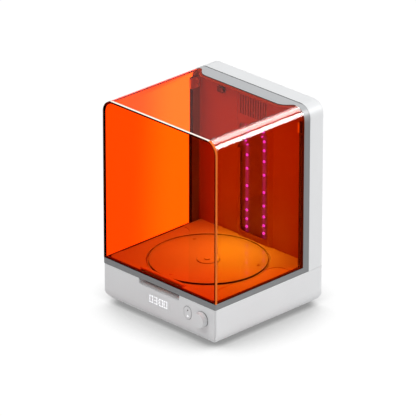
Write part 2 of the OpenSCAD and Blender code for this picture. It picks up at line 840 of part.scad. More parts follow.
module fan_screws() {
    color([0.6, 0.61, 0.62]) fan_screw_places() {
        bar_y(3.4, 0, 0, fan_y0 + fan_depth, fan_y0 + fan_depth + 2);
        bar_y(screw_r, 0, 0, wall_face_y + 1, fan_y0 + fan_depth + 1);
    }
}

module fan_rotor() {
    r = fan_size / 2 - 2.6;
    color([0.2, 0.2, 0.21]) translate([0, 0, fan_z]) {
        difference() {
            bar_y(12, 0, 0, fan_y0 + 0.6, fan_y0 + fan_depth - 2.6);
            bar_y(10.8, 0, 0, fan_y0 + 2, fan_y0 + fan_depth);
        }
        // Motor shaft stub inside the hub
        bar_y(1.5, 0, 0, fan_y0 + 1.5, fan_y0 + fan_depth - 2.3);
        for (i = [0:fan_blades - 1]) rotate([0, i * 360 / fan_blades, 0]) intersection() {
            translate([11.5, fan_y0 + fan_depth / 2 - 1, 0]) rotate([38, 0, 0]) translate([0, -0.6, -9])
                cube([r - 11, 1.2, 18]);
            bar_y(r, 0, 0, fan_y0 + 0.9, fan_y0 + fan_depth - 3);
        }
    }
}

module lid_switch() {
    color([0.2, 0.2, 0.21]) {
        translate([hook_x - 6, column_y - 2, hook_z]) cube([12, wall_face_y + wall_t - column_y + 3, 2.4]);
        translate([hook_x - 6, column_y - 2, hook_z]) cube([12, 1.6, 8]);
        translate([hook_x - 10, wall_face_y + wall_t, hook_z - 4]) cube([20, 7, 14]);
    }
}

module power_inlet() {
    color([0.12, 0.12, 0.13]) difference() {
        union() {
            translate([inlet_x - 7, rear_y - wall - 11, inlet_z - 7]) cube([14, 11, 14]);
            bar_y(6, inlet_x, inlet_z, rear_y - wall - 2, rear_y - 0.4);
        }
        difference() {
            bar_y(4.2, inlet_x, inlet_z, rear_y - wall - 9, rear_y + 1);
            bar_y(1, inlet_x, inlet_z, rear_y - wall - 10, rear_y - 2);
        }
    }
}

// Plan outline of the cut-out in the hood's top: slanted ends that run into the front edge in a round
module cutout_2d(grow) {
    r = 20 + grow;
    w = cutout_half_w + grow * sqrt(2);
    d = cutout_d + grow;
    corner = w - d;
    front = hood_rear_y - d;
    k = r * tan(22.5);
    q = k * cos(45);
    polygon([[k - corner, front], [corner - k, front], [corner + q, front + q], [w, hood_rear_y],
        [w, hood_rear_y + 20], [-w, hood_rear_y + 20], [-w, hood_rear_y], [-corner - q, front + q]]);
    for (s = sides) translate([s * (corner - k), front + r]) circle(r = r, $fn = 128);
}

module hood_wrap() {
    color([1, 0.42, 0.08, 0.55]) difference() {
        along_y(front_y + sheet_t, hood_rear_y) arch_2d(0, sheet_z);
        along_y(front_y - 1, hood_rear_y + 1) arch_2d(sheet_t, sheet_z - 1);
        translate([0, 0, body_top_z - sheet_t - 1]) linear_extrude(10) cutout_2d(0);
    }
}

module hood_front() {
    color([1, 0.42, 0.08, 0.55]) along_y(front_y, front_y + sheet_t) arch_2d(0, sheet_z);
}

// Plan of the frame's front and side bars: in by outer, and in by inner
module bars_2d(outer, inner, r) {
    difference() {
        rounded_box_2d(outer - half_w, half_w - outer, front_y + outer, frame_rear_y, r, r, 0.3, 0.3);
        translate([inner - half_w, front_y + inner]) square([body_w - 2 * inner, body_d]);
    }
}

// Rim under the sheet: a bar along the front and each side, with a lip that rises inside the sheet
module hood_rim() {
    color([0.64, 0.65, 0.66]) difference() {
        union() {
            translate([0, 0, rim_low_z]) linear_extrude(sheet_z - rim_low_z) bars_2d(0, sheet_t, 0.6);
            translate([0, 0, lip_low_z]) linear_extrude(sheet_z - lip_low_z) bars_2d(1, sheet_t + lip_t, 0.6);
            translate([0, 0, lip_low_z]) linear_extrude(lip_top_z - lip_low_z)
                bars_2d(sheet_t, sheet_t + lip_t, 0.3);
        }
        // Room for the frame's uprights and for the tongues at their feet
        translate([-half_w - 1, hood_rear_y, rim_low_z - 1]) cube([body_w + 2, trim_w + 1, 20]);
        translate([sheet_t - half_w, tongue_y, rim_low_z - 1]) cube([body_w - 2 * sheet_t, 40, 20]);
    }
}

// Arch round the chamber with the ledge that fills the cut-out; it carries the hood and turns on the hinge
module arch_and_ledge() {
    difference() {
        union() {
            // Arch between the sheet and the column, with a thin lip behind the sheet's edge
            along_y(hood_rear_y, frame_rear_y) difference() {
                arch_2d(0, rim_low_z);
                arch_2d(sheet_t, rim_low_z - 1);
            }
            along_y(hood_rear_y - 3, frame_rear_y) difference() {
                arch_2d(sheet_t, lip_low_z);
                arch_2d(sheet_t + lip_t, lip_low_z - 1);
            }
            // Tongues at the feet, glued inside the rim's side bars
            for (s = sides) on_side(s) translate([half_w - sheet_t - lip_t, tongue_y, lip_low_z])
                cube([lip_t, frame_rear_y - tongue_y, lip_top_z - lip_low_z]);
            // Ledge in the hood's cut-out, and the flange under the sheet round it
            translate([0, 0, body_top_z - sheet_t]) linear_extrude(sheet_t) difference() {
                cutout_2d(-0.1);
                translate([-half_w, hood_rear_y + 1]) square([body_w, 60]);
            }
            translate([0, 0, body_top_z - sheet_t - lip_t]) linear_extrude(lip_t) difference() {
                cutout_2d(4);
                translate([-half_w, hood_rear_y + 1]) square([body_w, 60]);
            }
        }
        // Round the top rear edge about the hinge axis
        difference() {
            translate([-half_w - 1, hinge_y, hinge_z]) cube([body_w + 2, 5, 5]);
            bar_x(hinge_r, hinge_y, hinge_z, -half_w - 1, half_w + 1);
        }
        // Notches from below for the knuckles and leaves, under a thin skin
        for (s = sides) translate([s * hinge_x - knuckle_w / 2 - 0.2, hinge_y - knuckle_r - 0.2, skin_z - 9])
            cube([knuckle_w + 0.4, 12, 9]);
        // Bores for the hinge pins
        for (s = sides) bar_x(hinge_pin_r + 0.02, hinge_y, hinge_z, s * hinge_x - 16.5, s * hinge_x + 16.5);
    }
}

// Space of one post: below the mitre that halves the arch's round corner
module post_space(s) {
    x = half_w - corner_r;
    z = body_top_z - corner_r;
    on_side(s) along_y(tongue_y - 1, column_y + 1)
        polygon([[x - 60, z - 60], [x - 60, rim_low_z - 1], [half_w + 1, rim_low_z - 1],
            [half_w + 1, z + corner_r + 1]]);
}

// Post of the arch up to its mitre, with the tongue at its foot
module hood_post(s) {
    color([0.64, 0.65, 0.66]) intersection() {
        arch_and_ledge();
        post_space(s);
    }
}

module hood_post_left() {
    hood_post(-1);
}

module hood_post_right() {
    hood_post(1);
}

// Top of the arch between the mitres, with the ledge and the hinge pins' bores
module hood_frame() {
    color([0.64, 0.65, 0.66]) difference() {
        arch_and_ledge();
        for (s = sides) post_space(s);
    }
}

// Plate that ties the side of the sheet to the arch
module hood_bracket(s) {
    x0 = bracket_face_x - bracket_t;
    z0 = bracket_z0;
    z1 = bracket_z1;
    color([0.3, 0.3, 0.31]) on_side(s) difference() {
        union() {
            along_x(x0, bracket_face_x) rounded_box_2d(hood_rear_y - 9, column_y - 3, z0, z1, 3, 2, 3, 2);
            along_x(x0, bracket_face_x + lip_t)
                rounded_box_2d(hood_rear_y - 9, hood_rear_y - 3.2, z0, z1, 2.5, 0.5, 2.5, 0.5);
        }
        for (z = bracket_screw_z) bar_x(small_clear_r + 0.1, hood_rear_y + 6, z, x0 - 1, bracket_face_x + 2);
    }
}

module bracket_screws() {
    color([0.7, 0.71, 0.72]) for (s = sides) on_side(s) for (z = bracket_screw_z) {
        bar_x(2.6, hood_rear_y + 6, z, bracket_face_x - 3.4, bracket_face_x - bracket_t);
        bar_x(screw_r, hood_rear_y + 6, z, bracket_face_x - 2.5, bracket_face_x);
    }
}

module hood_bracket_left() {
    hood_bracket(-1);
}

module hood_bracket_right() {
    hood_bracket(1);
}

// Knuckle that carries the pin, on a neck that drops behind the hood's skin to the leaf under the column
module hinge_leaf(s) {
    color([0.7, 0.71, 0.72]) difference() {
        union() {
            bar_x(knuckle_r, hinge_y, hinge_z, s * hinge_x - knuckle_w / 2, s * hinge_x + knuckle_w / 2);
            translate([s * hinge_x - knuckle_w / 2, hinge_y - 1.1, leaf_z0])
                cube([knuckle_w, 2.2, hinge_z - leaf_z0]);
            translate([s * hinge_x - knuckle_w / 2, hinge_y - 1.1, leaf_z0])
                cube([knuckle_w, leaf_y1 - hinge_y + 1.1, leaf_z1 - leaf_z0]);
        }
        bar_x(hinge_pin_r + 0.04, hinge_y, hinge_z, s * hinge_x - 30, s * hinge_x + 30);
        hinge_screw_places() cylinder(r = 1.6, h = body_top_z);
    }
}

module hinge_screws() {
    color([0.6, 0.61, 0.62]) hinge_screw_places() {
        translate([0, 0, leaf_z0 - 1.2]) cylinder(r = 2.6, h = 1.2);
        translate([0, 0, leaf_z0 - 0.5]) cylinder(r = small_screw_r, h = body_top_z - 2 - leaf_z0);
    }
}

module hinge_leaf_left() {
    hinge_leaf(-1);
}

module hinge_leaf_right() {
    hinge_leaf(1);
}

module hinge_pins() {
    color([0.75, 0.76, 0.77]) for (s = sides)
        bar_x(hinge_pin_r, hinge_y, hinge_z, s * hinge_x - 16.4, s * hinge_x + 16.4);
}

base_housing();
base_plate();
rubber_feet();
base_screws();
chamber_floor();
turntable_plate();
turntable_hub();
glide_pads();
drive_shaft();
gear_motor();
motor_bracket();
motor_screws();
main_board();
control_board();
board_screws();
display_module();
encoder_body();
encoder_shaft();
knob();
pill_button();
button_switch();
column_shell();
column_screws();
back_panel();
lamp_window();
lamp_board();
lamp_diodes();
heat_sink();
fan_frame();
fan_rotor();
fan_screws();
lid_switch();
power_inlet();
hood_wrap();
hood_front();
hood_rim();
hood_post_left();
hood_post_right();
hood_frame();
hood_bracket_left();
hood_bracket_right();
bracket_screws();
hinge_leaf_left();
hinge_leaf_right();
hinge_screws();
hinge_pins();
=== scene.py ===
import math

import bmesh
import bpy
from mathutils import Matrix, Vector


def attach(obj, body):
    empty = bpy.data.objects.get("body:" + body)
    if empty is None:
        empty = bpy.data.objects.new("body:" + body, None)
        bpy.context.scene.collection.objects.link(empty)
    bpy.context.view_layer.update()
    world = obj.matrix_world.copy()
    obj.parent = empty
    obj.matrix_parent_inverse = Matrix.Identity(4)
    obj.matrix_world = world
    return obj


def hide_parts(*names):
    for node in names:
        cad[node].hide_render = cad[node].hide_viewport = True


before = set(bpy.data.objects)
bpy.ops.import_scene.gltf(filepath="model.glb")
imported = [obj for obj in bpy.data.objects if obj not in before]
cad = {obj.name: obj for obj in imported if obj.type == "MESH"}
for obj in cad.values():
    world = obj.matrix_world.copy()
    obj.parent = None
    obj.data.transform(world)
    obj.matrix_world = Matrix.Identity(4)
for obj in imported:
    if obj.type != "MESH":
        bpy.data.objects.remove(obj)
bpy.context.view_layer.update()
mm = 0.001


# The white base housing and the white rear column are injection moulded shells in a satin white. Their tool faces
# leave a very fine spark-eroded grain, and every edge has a small moulded round. The column stands on the base's rim.
white = (0.80, 0.81, 0.82)
white_roughness = (0.36, 0.46)


def node_tools(tree):
    """Empties a node tree, and gives a way to add nodes to it and a way to join them."""
    tree.nodes.clear()

    def add(kind, **settings):
        node = tree.nodes.new(kind)
        for key, value in settings.items():
            if hasattr(node, key):
                setattr(node, key, value)
            else:
                node.inputs[key.replace("_", " ")].default_value = value
        return node

    def join(source, socket, target, place):
        tree.links.new(source.outputs[socket], target.inputs[place])

    return add, join


def node_tree(name):
    """A new material with an empty node tree: the material, a way to add nodes, and a way to join them."""
    finish = bpy.data.materials.new(name)
    finish.use_nodes = True
    return (finish, *node_tools(finish.node_tree))


def spread(add, ends, levels, **settings):
    """A node that takes a value between two ends over to a value between two levels."""
    node = add("ShaderNodeMapRange", **settings)
    node.inputs["From Min"].default_value, node.inputs["From Max"].default_value = ends
    node.inputs["To Min"].default_value, node.inputs["To Max"].default_value = levels
    return node


def moulded(name, colour, roughness, tone=0.03, grain_per_m=2200, grain_depth=0.010, soft_edge=0.4 * mm, sheen=0.5,
            painted_top_light=None, painted_shade_gap=0.0):
    """Moulded plastic: faint cloudy tone, fine grain, uneven gloss and softly lit edges.

    With a height span, (low, high, times), the colour gets lighter from one height to another: painted light on the
    higher faces. Gaps narrower than the given gap width are darker: painted shade.
    """
    finish, add, join = node_tree(name)
    out = add("ShaderNodeOutputMaterial")
    skin = add("ShaderNodeBsdfPrincipled", IOR=1.46)
    skin.inputs["Specular IOR Level"].default_value = sheen
    place = add("ShaderNodeTexCoord")
    cloud = add("ShaderNodeTexNoise", Scale=14.0, Detail=4.0, Roughness=0.55)
    grain = add("ShaderNodeTexNoise", Scale=float(grain_per_m), Detail=2.0, Roughness=0.6)
    join(place, "Object", cloud, "Vector")
    join(place, "Object", grain, "Vector")
    ramp = add("ShaderNodeValToRGB")
    ramp.color_ramp.elements[0].position = 0.3
    ramp.color_ramp.elements[1].position = 0.7
    ramp.color_ramp.elements[0].color = [c * (1 - tone) for c in colour] + [1]
    ramp.color_ramp.elements[1].color = [min(1, c * (1 + tone)) for c in colour] + [1]
    join(cloud, "Fac", ramp, "Fac")
    join(ramp, "Color", skin, "Base Color")
    # Painted light: the colour is made lighter towards the higher faces, as if more light fell on them.
    if painted_top_light:
        low, high, times = painted_top_light
        height = add("ShaderNodeSeparateXYZ")
        painted_light_ramp = spread(add, (low, high), (1, times))
        scaled = add("ShaderNodeVectorMath", operation="SCALE")
        join(place, "Object", height, "Vector")
        join(height, "Z", painted_light_ramp, "Value")
        join(ramp, "Color", scaled, 0)
        join(painted_light_ramp, "Result", scaled, "Scale")
        join(scaled, "Vector", skin, "Base Color")
    # Painted shade: narrow gaps are darkened by the ambient occlusion measured in them.
    if painted_shade_gap:
        open_air = add("ShaderNodeAmbientOcclusion", samples=8, Distance=painted_shade_gap)
        depth = spread(add, (0.35, 0.85), (0.15, 1.0))
        shaded = add("ShaderNodeVectorMath", operation="SCALE")
        join(open_air, "AO", depth, "Value")
        join(ramp, "Color", shaded, 0)
        join(depth, "Result", shaded, "Scale")
        join(shaded, "Vector", skin, "Base Color")
    gloss = spread(add, (0, 1), roughness)
    join(grain, "Fac", gloss, "Value")
    join(gloss, "Result", skin, "Roughness")
    edge = add("ShaderNodeBevel", samples=4, Radius=soft_edge)
    bump = add("ShaderNodeBump", Strength=0.35, Distance=grain_depth * mm)
    join(grain, "Fac", bump, "Height")
    join(edge, "Normal", bump, "Normal")
    join(bump, "Normal", skin, "Normal")
    join(skin, "BSDF", out, "Surface")
    return finish


def dress(finish, *names):
    """Gives CAD nodes a finish."""
    for name in names:
        slots = cad[name].data.materials
        slots.clear()
        slots.append(finish)


# Both white shells carry painted shade in their narrow gaps.
white_satin = moulded("white_satin", white, white_roughness, tone=0.012, soft_edge=1.8 * mm, painted_shade_gap=4 * mm)
base_satin = moulded("base_satin", white, white_roughness, tone=0.012, soft_edge=3.5 * mm, painted_shade_gap=1.6 * mm)
dress(white_satin, "column_shell")
dress(base_satin, "base_housing")

# The cabinet stands on four moulded rubber feet pressed into recesses, and a vented plate of dark grey plastic closes
# the base from below. Six cross-head screws hold it. The rubber is dull, with a coarse pebbled surface.
foot_rubber = moulded("foot_rubber", (0.035, 0.035, 0.037), (0.75, 0.9), tone=0.1, grain_per_m=1400, grain_depth=0.03)
dark_moulding = moulded("dark_moulding", (0.045, 0.046, 0.05), (0.45, 0.6), tone=0.08, grain_per_m=1500)
dress(foot_rubber, "rubber_feet")
dress(dark_moulding, "base_plate")


def plated_steel(name, colour, roughness, brush=(60, 60, 900)):
    """Plated steel with fine drawn lines along X and Y and uneven gloss."""
    finish, add, join = node_tree(name)
    out = add("ShaderNodeOutputMaterial")
    skin = add("ShaderNodeBsdfPrincipled", Metallic=1.0)
    place = add("ShaderNodeTexCoord")
    stretch = add("ShaderNodeMapping")
    stretch.inputs["Scale"].default_value = brush
    lines = add("ShaderNodeTexNoise", Scale=4.0, Detail=5.0, Roughness=0.65)
    join(place, "Object", stretch, "Vector")
    join(stretch, "Vector", lines, "Vector")
    ramp = add("ShaderNodeValToRGB")
    ramp.color_ramp.elements[0].color = [c * 0.82 for c in colour] + [1]
    ramp.color_ramp.elements[1].color = [min(1, c * 1.08) for c in colour] + [1]
    gloss = spread(add, (0, 1), roughness)
    bump = add("ShaderNodeBump", Strength=0.2, Distance=0.01 * mm)
    join(lines, "Fac", ramp, "Fac")
    join(lines, "Fac", gloss, "Value")
    join(lines, "Fac", bump, "Height")
    join(ramp, "Color", skin, "Base Color")
    join(gloss, "Result", skin, "Roughness")
    join(bump, "Normal", skin, "Normal")
    join(skin, "BSDF", out, "Surface")
    return finish


zinc_steel = plated_steel("zinc_steel", (0.62, 0.63, 0.65), (0.22, 0.38))
dress(zinc_steel, "base_screws", "column_screws", "board_screws", "motor_screws", "fan_screws", "hinge_screws",
      "bracket_screws", "motor_bracket")


# The chamber floor is one grey moulding with a dish for the turntable. It drops onto a ledge inside the base's rim,
# and a bump at the front leaves room for fingertips. Three slick pads in the dish steady the plate's edge.
floor_grey = moulded("floor_grey", (0.66, 0.66, 0.66), (0.30, 0.40), tone=0.03)
slick_white = moulded("slick_white", (0.75, 0.75, 0.73), (0.2, 0.3), tone=0.02)
dress(floor_grey, "chamber_floor", "turntable_hub")
dress(slick_white, "glide_pads")


def clear_sheet(name, passed, density, smear, mirror, bend=None):
    """Cast clear sheet, coloured through its thickness, whose faces reflect the share that mirror says.

    With bend, (distances from the middle, heights, haze), the share rises to all of it over those distances, falls to
    none below those heights, and a faint white film, a painted haze of the sky's reflection, lies on what is higher.
    """
    finish, add, join = node_tree(name)
    out = add("ShaderNodeOutputMaterial")
    bare = add("ShaderNodeBsdfRefraction", Color=(1, 1, 1, 1), IOR=1.49)
    polished = add("ShaderNodeBsdfGlass", Color=(1, 1, 1, 1), IOR=1.49)
    skin = add("ShaderNodeMixShader", Fac=mirror)
    place = add("ShaderNodeTexCoord")
    haze = add("ShaderNodeTexNoise", Scale=9.0, Detail=6.0, Roughness=0.7)
    smears = spread(add, (0.45, 0.8), (0.0, smear))
    join(place, "Object", haze, "Vector")
    join(haze, "Fac", smears, "Value")
    join(smears, "Result", bare, "Roughness")
    join(smears, "Result", polished, "Roughness")
    join(bare, "BSDF", skin, 1)
    join(polished, "BSDF", skin, 2)
    if bend:
        distances, heights, painted_haze = bend
        parts = add("ShaderNodeSeparateXYZ")
        outward = add("ShaderNodeMath", operation="ABSOLUTE")
        brighter = spread(add, distances, (mirror, 1.0))
        high = spread(add, heights, (0.0, 1.0))
        shine = add("ShaderNodeMath", operation="MULTIPLY")
        join(place, "Object", parts, "Vector")
        join(parts, "X", outward, 0)
        join(outward, "Value", brighter, "Value")
        join(parts, "Z", high, "Value")
        join(brighter, "Result", shine, 0)
        join(high, "Result", shine, 1)
        join(shine, "Value", skin, "Fac")
        # Painted reflection: a faint white film on the higher faces stands for the sky's hazy reflection in the top.
        film = add("ShaderNodeBsdfDiffuse", Color=(1, 1, 1, 1))
        sky_haze_share = add("ShaderNodeMath", operation="MULTIPLY")
        sky_haze_share.inputs[1].default_value = painted_haze
        clean, skin = skin, add("ShaderNodeMixShader")
        join(high, "Result", sky_haze_share, 0)
        join(sky_haze_share, "Value", skin, "Fac")
        join(clean, "Shader", skin, 1)
        join(film, "BSDF", skin, 2)
    through = add("ShaderNodeBsdfTransparent")
    through.inputs["Color"].default_value = (1, 1, 1, 1)
    path = add("ShaderNodeLightPath")
    either = add("ShaderNodeMath", operation="MAXIMUM")
    mix = add("ShaderNodeMixShader")
    join(path, "Is Shadow Ray", either, 0)
    join(path, "Is Diffuse Ray", either, 1)
    join(either, "Value", mix, "Fac")
    join(skin, "Shader", mix, 1)
    join(through, "BSDF", mix, 2)
    join(mix, "Shader", out, "Surface")
    depth = add("ShaderNodeVolumeAbsorption", Density=density)
    depth.inputs["Color"].default_value = (*passed, 1)
    join(depth, "Volume", out, "Volume")
    return finish


# The turntable is a disc of clear cast sheet, laser cut. Its rim is painted near black, a painted shade for the dark
# look that a clear sheet's edge has. It sits on a grey hub, which is pressed on the gear motor's shaft.
turn_y = -6 * mm
plate_r = 90 * mm
plate_low, plate_high = (z * mm for z in (76, 79))
plate_bore = 4.05 * mm
clear_plate = clear_sheet("clear_plate", (0.90, 0.96, 0.93), 8.0, smear=0.03, mirror=0.3)
painted_dark_rim = moulded("painted_dark_rim", (0.006, 0.005, 0.005), (0.3, 0.4), tone=0.1, soft_edge=0.0, sheen=0.15)


def finished(name, shape, body, finishes, stands_for=(), crease=32):
    """Makes a bmesh an object that rides on a body and stands for the CAD nodes it replaces."""
    mesh = bpy.data.meshes.new(name)
    shape.to_mesh(mesh)
    shape.free()
    mesh.shade_smooth()
    mesh.set_sharp_from_angle(angle=math.radians(crease))
    piece = bpy.data.objects.new(name, mesh)
    bpy.context.scene.collection.objects.link(piece)
    for finish in finishes:
        mesh.materials.append(finish)
    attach(piece, body)
    if stands_for:
        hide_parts(*stands_for)
    return piece


def turned(profile, centre, axis="Z", steps=96):
    """A closed outline of (radius, height) pairs spun a full turn about an axis through centre."""
    shape = bmesh.new()
    points = [shape.verts.new((r, 0, z)) for r, z in profile]
    ring = [shape.edges.new(pair) for pair in zip(points, points[1:] + points[:1])]
    bmesh.ops.spin(shape, geom=points + ring, cent=(0, 0, 0), axis=(0, 0, 1), angle=math.tau, steps=steps,
                   use_merge=True)
    bmesh.ops.remove_doubles(shape, verts=shape.verts, dist=0.001 * mm)
    bmesh.ops.recalc_face_normals(shape, faces=shape.faces)
    turn = Matrix.Identity(4) if axis == "Z" else Matrix.Rotation(math.radians(90), 4, "X")
    bmesh.ops.transform(shape, matrix=Matrix.Translation(centre) @ turn, verts=shape.verts)
    return shape


def flat_faces(piece):
    """Keeps the shading of large flat faces flat where they run into a bend."""
    even = piece.modifiers.new("flat faces", "WEIGHTED_NORMAL")
    even.weight = 100
    even.keep_sharp = True


def rounded_corner(r, z, r_sign, z_sign, radius, steps=3):
    """Points of a quarter round at an outline's corner, from its vertical side to its flat side."""
    middle = (r - r_sign * radius, z - z_sign * radius)
    angles = [math.radians(90 * i / steps) for i in range(steps + 1)]
    return [(middle[0] + r_sign * radius * math.cos(a), middle[1] + z_sign * radius * math.sin(a)) for a in angles]


rim_round = 0.35 * mm
plate_outline = (rounded_corner(plate_r, plate_low, 1, -1, rim_round)[::-1]
                 + rounded_corner(plate_r, plate_high, 1, 1, rim_round)
                 + [(plate_bore, plate_high), (plate_bore, plate_low)])
plate = turned(plate_outline, (0, turn_y, 0), steps=160)
# The faces of the rounded rim get the painted dark rim.
for face in plate.faces:
    level = math.hypot(face.calc_center_median().x, face.calc_center_median().y - turn_y)
    face.material_index = 1 if level > plate_r - rim_round else 0
turntable_disc = finished("turntable_disc", plate, "turntable", [clear_plate, painted_dark_rim], ["turntable_plate"])
flat_faces(turntable_disc)
dress(zinc_steel, "drive_shaft")

# The gear motor hangs under the floor on a steel plate. Its can is rolled and zinc plated, with a duller finish than
# the screws.
motor_can = plated_steel("motor_can", (0.5, 0.5, 0.48), (0.35, 0.55), brush=(300, 300, 20))
dress(motor_can, "gear_motor")


# The circuit boards are green lacquer over copper tracks, and stand on posts in the base. On a lamp board, bands
# round the diode columns glow violet, a painted halo of the diodes' light; they are seen at full strength, but shine
# only a little on what is round them.
lamp_held_back = 0.97
painted_halo_strength = 6.0
painted_halo_violet = (0.035, 0.003, 1.0)


def circuit_board(name, lacquer, track, columns=None):
    """Lacquered board with raised tracks showing through; columns is (distance, width) of painted halo bands round
    diodes.
    """
    finish, add, join = node_tree(name)
    out = add("ShaderNodeOutputMaterial")
    skin = add("ShaderNodeBsdfPrincipled", Roughness=0.32, IOR=1.5)
    place = add("ShaderNodeTexCoord")
    cells = add("ShaderNodeTexVoronoi", Scale=260.0, feature="DISTANCE_TO_EDGE", distance="MANHATTAN")
    tracks = add("ShaderNodeValToRGB")
    tracks.color_ramp.interpolation = "EASE"
    tracks.color_ramp.elements[0].position, tracks.color_ramp.elements[1].position = 0.05, 0.09
    tracks.color_ramp.elements[0].color = (*track, 1)
    tracks.color_ramp.elements[1].color = (*lacquer, 1)
    bump = add("ShaderNodeBump", Strength=0.4, Distance=0.04 * mm, invert=True)
    join(place, "Object", cells, "Vector")
    join(cells, "Distance", tracks, "Fac")
    join(cells, "Distance", bump, "Height")
    join(tracks, "Color", skin, "Base Color")
    join(bump, "Normal", skin, "Normal")
    join(skin, "BSDF", out, "Surface")
    # Painted light: the board glows violet in bands round the diode columns, as a halo of the diodes.
    if columns:
        distance, width = columns
        parts = add("ShaderNodeSeparateXYZ")
        side = add("ShaderNodeMath", operation="ABSOLUTE")
        away = add("ShaderNodeMath", operation="SUBTRACT")
        away.inputs[1].default_value = distance
        span = add("ShaderNodeMath", operation="ABSOLUTE")
        glow = spread(add, (0, width), (1, 0), interpolation_type="SMOOTHERSTEP")
        join(place, "Object", parts, "Vector")
        join(parts, "X", side, 0)
        join(side, "Value", away, 0)
        join(away, "Value", span, 0)
        join(span, "Value", glow, "Value")
        skin.inputs["Emission Color"].default_value = (*painted_halo_violet, 1)
        seen = add("ShaderNodeLightPath")
        shown = add("ShaderNodeMath", operation="MULTIPLY_ADD")
        shown.inputs[1].default_value, shown.inputs[2].default_value = -lamp_held_back * painted_halo_strength, painted_halo_strength
        join(seen, "Is Diffuse Ray", shown, 0)
        strength = add("ShaderNodeMath", operation="MULTIPLY")
        join(shown, "Value", strength, 0)
        join(glow, "Result", strength, 1)
        join(strength, "Value", skin, "Emission Strength")
    return finish


green_board = circuit_board("green_board", (0.012, 0.11, 0.05), (0.03, 0.2, 0.08))
dress(green_board, "main_board", "control_board")
dress(dark_moulding, "display_module", "button_switch", "power_inlet")
dress(zinc_steel, "encoder_body", "encoder_shaft")

# The display's segments shine through the white front, which is thinned behind them. Each lit bar is a soft white
# glow in the surface, without a frame round it.
front_y = -110 * mm
digit_high, digit_wide, bar = 11.4 * mm, 7.0 * mm, 1.05 * mm
digit_low = 33.4 * mm
digit_lefts = [x * mm for x in (-20.4, -11.2, 0.9, 10.3)]
colon_x, colon_half, colon_share = -1.2 * mm, 0.9 * mm, 0.19
lit_depth = 0.06 * mm
bars_of = {"0": "abcdef", "3": "abgcd"}


def display_glow(name, strength):
    """Warm white light that fades a little from bar to bar."""
    finish, add, join = node_tree(name)
    out = add("ShaderNodeOutputMaterial")
    skin = add("ShaderNodeBsdfPrincipled", Roughness=0.5)
    skin.inputs["Emission Strength"].default_value = strength
    place = add("ShaderNodeTexCoord")
    wander = add("ShaderNodeTexNoise", Scale=180.0, Detail=1.0)
    tone = add("ShaderNodeValToRGB")
    tone.color_ramp.elements[0].color = (0.93, 0.95, 1.0, 1)
    tone.color_ramp.elements[1].color = (1.0, 1.0, 1.0, 1)
    join(place, "Object", wander, "Vector")
    join(wander, "Fac", tone, "Fac")
    join(tone, "Color", skin, "Base Color")
    join(tone, "Color", skin, "Emission Color")
    join(skin, "BSDF", out, "Surface")
    return finish


def lit_bar(shape, x0, x1, z0, z1):
    """A flat bar with rounded ends, lying in the front face."""
    sides = bmesh.ops.create_cube(shape, size=1)["verts"]
    size = Vector((x1 - x0, 2 * lit_depth, z1 - z0))
    middle = Vector(((x0 + x1) / 2, front_y, (z0 + z1) / 2))
    bmesh.ops.transform(shape, matrix=Matrix.Translation(middle) @ Matrix.Diagonal((*size, 1)), verts=sides)
    corners = {e for v in sides for e in v.link_edges if abs((e.verts[0].co - e.verts[1].co).normalized().y) > 0.9}
    bmesh.ops.bevel(shape, geom=list(corners), offset=0.45 * min(x1 - x0, z1 - z0), segments=4, profile=0.5,
                    affect="EDGES", material=-1)


digits = bmesh.new()
for left, digit in zip(digit_lefts, "0300"):
    right, top, half = left + digit_wide, digit_low + digit_high, digit_low + digit_high / 2
    places = {
        "a": (left, right, top - bar, top), "d": (left, right, digit_low, digit_low + bar),
        "g": (left, right, half - bar / 2, half + bar / 2),
        "b": (right - bar, right, half - bar / 2, top), "c": (right - bar, right, digit_low, half + bar / 2),
        "f": (left, left + bar, half - bar / 2, top), "e": (left, left + bar, digit_low, half + bar / 2),
    }
    for name in bars_of[digit]:
        lit_bar(digits, *places[name])
for step in (-1, 1):
    z = digit_low + digit_high * (0.5 + colon_share * step)
    lit_bar(digits, colon_x - colon_half, colon_x + colon_half, z - colon_half, z + colon_half)
finished("display_digits", digits, "cabinet", [display_glow("display_glow", 0.45)])

# The knob is moulded in white plastic and pushed onto the encoder's shaft. It has a flat face with a rounded rim, and
# is hollow behind, round a boss for the shaft.
knob_centre = (92.5 * mm, -110.3 * mm, 42.5 * mm)
knob_r, knob_h = 12 * mm, 9.7 * mm
shaft_hole_r, shaft_hole_end = 3.02 * mm, 7.5 * mm
boss_r, boss_low = 5.6 * mm, 2 * mm
hollow_r, hollow_end = 9.8 * mm, 7.1 * mm
rear_round, face_round = 0.3 * mm, 1.1 * mm
knob_outline = ([(shaft_hole_r, shaft_hole_end), (shaft_hole_r, boss_low), (boss_r, boss_low), (boss_r, hollow_end),
                 (hollow_r, hollow_end), (hollow_r, 0)]
                + rounded_corner(knob_r, 0, 1, -1, rear_round)[::-1]
                + rounded_corner(knob_r, knob_h, 1, 1, face_round, 6)
                + [(0, knob_h), (0, shaft_hole_end)])
knob_shape = turned(knob_outline, knob_centre, axis="Y", steps=128)
# The knob carries painted shade in its narrow gaps.
knob_white = moulded("knob_white", white, (0.3, 0.4), tone=0.01, painted_shade_gap=4 * mm)
flat_faces(finished("knob_cap", knob_shape, "control_knob", [knob_white], ["knob"]))

